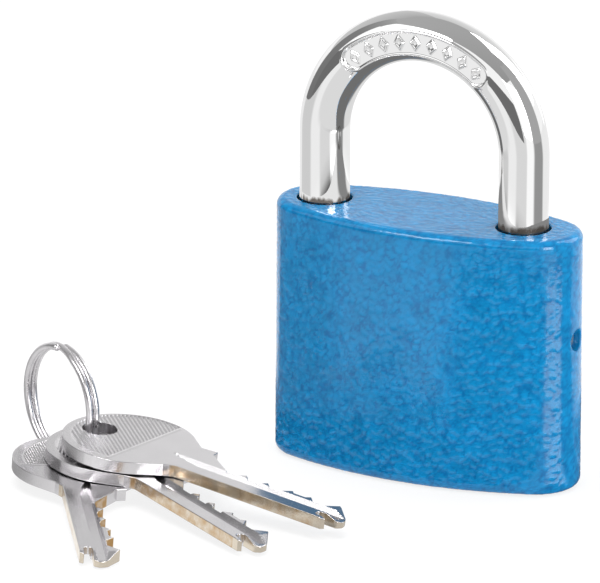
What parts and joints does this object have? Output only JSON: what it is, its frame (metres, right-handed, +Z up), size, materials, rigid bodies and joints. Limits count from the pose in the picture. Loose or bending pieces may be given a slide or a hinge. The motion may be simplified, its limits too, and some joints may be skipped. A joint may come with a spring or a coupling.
{
  "type": "padlock",
  "caption": "Oval-bodied padlock in hammertone enamel with a round chromed shackle, pin-tumbler cylinder in the underside, and keys on a split ring lying beside it.",
  "frame": {"origin": "centre of the body's flat underside, at rest level with the surface that it stands on", "axes": "+X along the body's width from the toe side to the heel side, +Y from the front face to the back face, +Z up along the shackle's legs"},
  "size_m": [0.0872, 0.0795, 0.0749],
  "materials": {
    "body_enamel": "glossy blue hammertone stoving enamel on cast iron",
    "chrome_plate": "polished chrome plate on hardened steel",
    "pin_steel": "ground steel",
    "spring_steel": "drawn spring wire",
    "turned_brass": "turned brass",
    "ring_steel": "bright nickel-plated spring wire",
    "key_nickel": "nickel-plated brass with bare brass where it is cut"
  },
  "bodies": {
    "case": {"case": "body_enamel", "shackle_retaining_pin": "pin_steel", "cylinder_retaining_pin": "pin_steel", "cylinder_shell": "turned_brass", "chamber_strip": "turned_brass", "driver_pin_1": "pin_steel", "driver_pin_2": "pin_steel", "driver_pin_3": "pin_steel", "driver_pin_4": "pin_steel", "driver_pin_5": "pin_steel", "pin_spring_1": "spring_steel", "pin_spring_2": "spring_steel", "pin_spring_3": "spring_steel", "pin_spring_4": "spring_steel", "pin_spring_5": "spring_steel", "bolt_return_spring": "spring_steel", "shackle_spring": "spring_steel"},
    "plug": {"plug": "turned_brass", "key_pin_1": "turned_brass", "key_pin_2": "turned_brass", "key_pin_3": "turned_brass", "key_pin_4": "turned_brass", "key_pin_5": "turned_brass", "cam": "pin_steel", "plug_circlip": "pin_steel"},
    "toe_bolt": {"toe_bolt": "pin_steel"},
    "shackle": {"shackle": "chrome_plate"},
    "key_ring": {"split_ring": "ring_steel"},
    "key_top": {"key_top": "key_nickel"},
    "key_middle": {"key_middle": "key_nickel"},
    "key_bottom": {"key_bottom": "key_nickel"}
  },
  "joints": [
    {"name": "shackle_lift", "type": "slide", "parent": "case", "child": "shackle", "axis": [0, 0, 1], "range_m": [0, 0.011], "deforming": ["shackle_spring"]},
    {"name": "plug_turn", "type": "hinge", "parent": "case", "child": "plug", "pos_m": [0.002, 0, 0], "axis": [0, 0, 1], "range_deg": [-90, 0]},
    {"name": "toe_bolt_slide", "type": "slide", "parent": "case", "child": "toe_bolt", "axis": [-1, 0, 0], "range_m": [0, 0.0018], "deforming": ["bolt_return_spring"]},
    {"name": "key_set_lift", "type": "slide", "parent": "case", "child": "key_ring", "axis": [0, 0, 1], "range_m": [0, 0.08]},
    {"name": "key_bottom_swing", "type": "hinge", "parent": "key_ring", "child": "key_bottom", "pos_m": [-0.04851, -0.02743, 0.00288], "axis": [0.0634, -0.0024, 0.998], "range_deg": [-40, 0]},
    {"name": "key_middle_swing", "type": "hinge", "parent": "key_ring", "child": "key_middle", "pos_m": [-0.04561, -0.02749, 0.005], "axis": [0.0799, -0.0063, 0.9968], "range_deg": [-10, 0]},
    {"name": "key_top_swing", "type": "hinge", "parent": "key_ring", "child": "key_top", "pos_m": [-0.04358, -0.02897, 0.00717], "axis": [0.0967, 0.003, 0.9953], "range_deg": [0, 25]}
  ],
  "couplings": [
    {"joint": "toe_bolt_slide", "follows": "plug_turn", "m_per_rad": -0.0011459}
  ]
}
